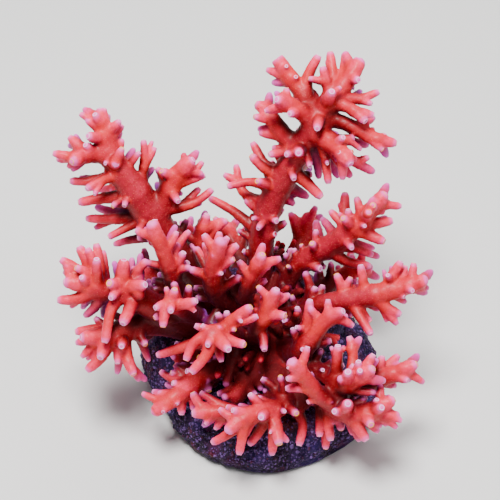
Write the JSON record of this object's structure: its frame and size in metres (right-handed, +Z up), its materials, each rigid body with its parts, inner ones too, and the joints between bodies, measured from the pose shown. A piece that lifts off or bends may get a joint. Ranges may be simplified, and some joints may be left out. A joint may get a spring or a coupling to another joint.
{
  "type": "acropora coral",
  "caption": "Branching coral colony of blunt fingers on forked limbs, grown over a low rounded loose stone with a flat underside.",
  "frame": {"origin": "centre of the stone's flat underside", "axes": "+Z up, away from the surface the stone rests on; +X to the right and +Y away from the viewer in the picture"},
  "size_m": [0.1693, 0.1526, 0.1469],
  "materials": {
    "coral": "smooth wet-looking living coral, orange red with pale pink tips and violet in the shade",
    "coral_crust": "dark red encrusting coral skin, slightly pebbled and wet",
    "stone": "rough reef stone with dark violet and mauve coralline crust"
  },
  "bodies": {
    "root": {"stone": "stone", "coral_foot": "coral_crust", "left_tower": "coral", "left_tower_crown": "coral", "left_tower_left_arm": "coral", "left_tower_right_arm": "coral", "left_tower_back_arm": "coral", "middle_back_branch": "coral", "pillar_branch": "coral", "star_branch": "coral", "left_cluster": "coral", "left_cluster_fan": "coral", "lower_left_cluster": "coral", "centre_crown": "coral", "centre_right_branch": "coral", "front_spray": "coral", "front_spray_right": "coral", "right_tower": "coral", "right_tower_crown": "coral", "right_tower_upper_arm": "coral", "right_tower_left_arm": "coral", "right_tower_front_arm": "coral", "right_tower_long_arm": "coral", "right_tower_low_arm": "coral", "right_tower_back_arm": "coral", "right_middle_arm": "coral", "right_middle_crown": "coral", "right_low_arm": "coral", "right_low_crown": "coral", "front_fork": "coral", "front_right_cluster": "coral", "right_front_arm": "coral", "low_right_cluster": "coral", "front_leader": "coral", "front_low_spray": "coral", "front_low_left_spray": "coral", "left_low_arm": "coral", "back_left_limb": "coral", "back_limb": "coral", "back_right_limb": "coral", "right_back_limb": "coral", "left_back_limb": "coral"}
  },
  "joints": []
}
